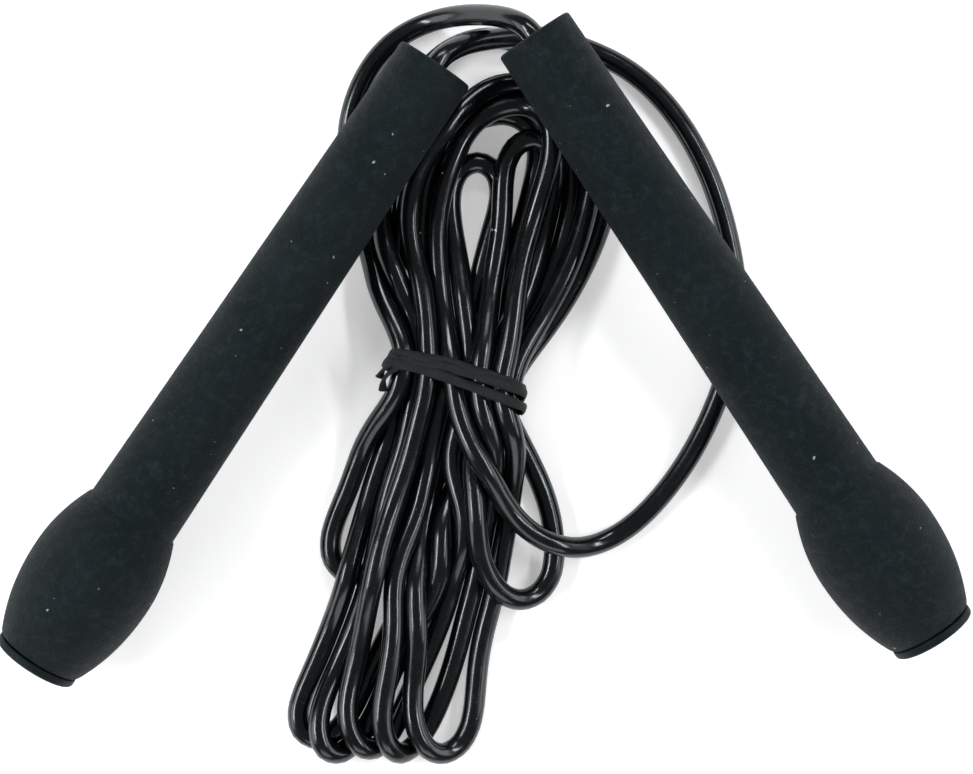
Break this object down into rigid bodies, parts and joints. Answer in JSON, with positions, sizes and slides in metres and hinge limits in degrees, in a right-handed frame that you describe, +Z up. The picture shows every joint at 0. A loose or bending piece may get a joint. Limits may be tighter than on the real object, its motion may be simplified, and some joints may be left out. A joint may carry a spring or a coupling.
{
  "type": "jump rope",
  "caption": "Speed rope: a slim PVC rope folded into a tied hank, its ends stopped inside two tapered hollow handles with bulb ends and push-in caps.",
  "frame": {"origin": "middle of the two handles' footprint, on the surface that the rope lies on", "axes": "+Z up from that surface; +Y towards the handles' nose ends; +X from the left handle to the right one, seen from above"},
  "size_m": [0.2404, 0.1894, 0.0371],
  "materials": {
    "handle_moulding": "fine matt spark-eroded texture",
    "cap_moulding": "satin",
    "rope_pvc": "gloss extruded PVC",
    "tie_ribbon": "matt crinkled ribbon",
    "stop_steel": "zinc plated"
  },
  "bodies": {
    "rope": {"rope_left_lead": "rope_pvc", "rope_right_lead": "rope_pvc", "rope_top_loop": "rope_pvc", "rope_left_loop": "rope_pvc", "rope_right_loop": "rope_pvc", "rope_upper_hank": "rope_pvc", "rope_lower_hank": "rope_pvc", "bundle_tie": "tie_ribbon", "left_stop_washer": "stop_steel", "right_stop_washer": "stop_steel", "left_crimp_ferrule": "stop_steel", "right_crimp_ferrule": "stop_steel"},
    "left_handle": {"left_handle_shell": "handle_moulding"},
    "right_handle": {"right_handle_shell": "handle_moulding"},
    "left_cap": {"left_end_cap": "cap_moulding"},
    "right_cap": {"right_end_cap": "cap_moulding"}
  },
  "joints": [
    {"name": "left_handle_spin", "type": "hinge", "parent": "rope", "child": "left_handle", "pos_m": [-0.0118, 0.0706, 0.02424], "axis": [0.5599, 0.8269, 0.0523], "continuous": true},
    {"name": "right_handle_spin", "type": "hinge", "parent": "rope", "child": "right_handle", "pos_m": [0.0119, 0.0773, 0.02722], "axis": [-0.5592, 0.8259, 0.0715], "continuous": true},
    {"name": "left_cap_pull", "type": "slide", "parent": "left_handle", "child": "left_cap", "axis": [-0.5599, -0.8269, -0.0523], "range_m": [0, 0.03]},
    {"name": "right_cap_pull", "type": "slide", "parent": "right_handle", "child": "right_cap", "axis": [0.5592, -0.8259, -0.0715], "range_m": [0, 0.03]}
  ]
}
